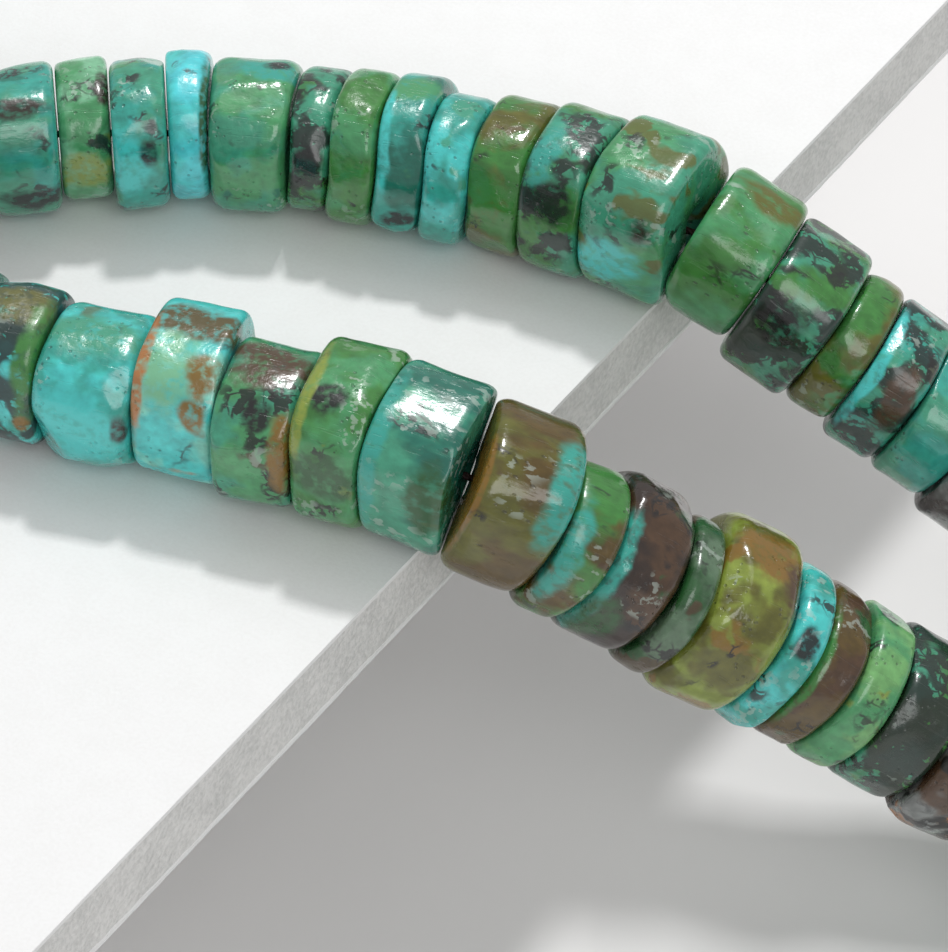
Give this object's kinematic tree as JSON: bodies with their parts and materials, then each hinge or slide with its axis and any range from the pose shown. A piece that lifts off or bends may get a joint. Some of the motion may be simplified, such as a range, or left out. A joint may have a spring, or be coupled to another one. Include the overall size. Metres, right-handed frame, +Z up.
{
  "type": "beaded necklace on a display board",
  "caption": "Closed string of irregular polished turquoise nuggets on a thin thread with a barrel clasp, lying over the edge of a raised plain white display board.",
  "frame": {"origin": "centre of the board support's underside, on the floor", "axes": "+X along the strands from the board's middle out over its edge, +Z up, -Z out of the support's underside"},
  "size_m": [0.206, 0.114, 0.0403],
  "materials": {
    "stone": "polished turquoise with brown and black matrix, green to blue-green",
    "thread": "thin dark reddish-brown beading thread",
    "clasp": "plain satin metal",
    "board": "matt white foam-core board with a fine grain and a rough cut edge",
    "support": "plain matt white block"
  },
  "bodies": {
    "root": {"bead_back_01": "stone", "bead_back_02": "stone", "bead_back_03": "stone", "bead_back_04": "stone", "bead_back_05": "stone", "bead_back_06": "stone", "bead_back_07": "stone", "bead_back_08": "stone", "bead_back_09": "stone", "bead_back_10": "stone", "bead_back_11": "stone", "bead_back_12": "stone", "bead_back_13": "stone", "bead_back_14": "stone", "bead_back_15": "stone", "bead_back_16": "stone", "bead_back_17": "stone", "bead_back_18": "stone", "bead_back_19": "stone", "bead_back_20": "stone", "bead_front_01": "stone", "bead_front_02": "stone", "bead_front_03": "stone", "bead_front_04": "stone", "bead_front_05": "stone", "bead_front_06": "stone", "bead_front_07": "stone", "bead_front_08": "stone", "bead_front_09": "stone", "bead_front_10": "stone", "bead_front_11": "stone", "bead_front_12": "stone", "bead_front_13": "stone", "bead_front_14": "stone", "bead_front_15": "stone", "bead_front_16": "stone", "bead_front_17": "stone", "bead_front_18": "stone", "bead_front_19": "stone", "bead_front_20": "stone", "thread_back": "thread", "thread_front": "thread", "bead_run_1": "stone", "bead_run_2": "stone", "bead_run_3": "stone", "bead_run_4": "stone", "bead_run_5": "stone", "bead_run_6": "stone", "bead_run_7": "stone", "bead_run_8": "stone", "clasp": "clasp", "display_board": "board", "board_support": "support"}
  },
  "joints": []
}
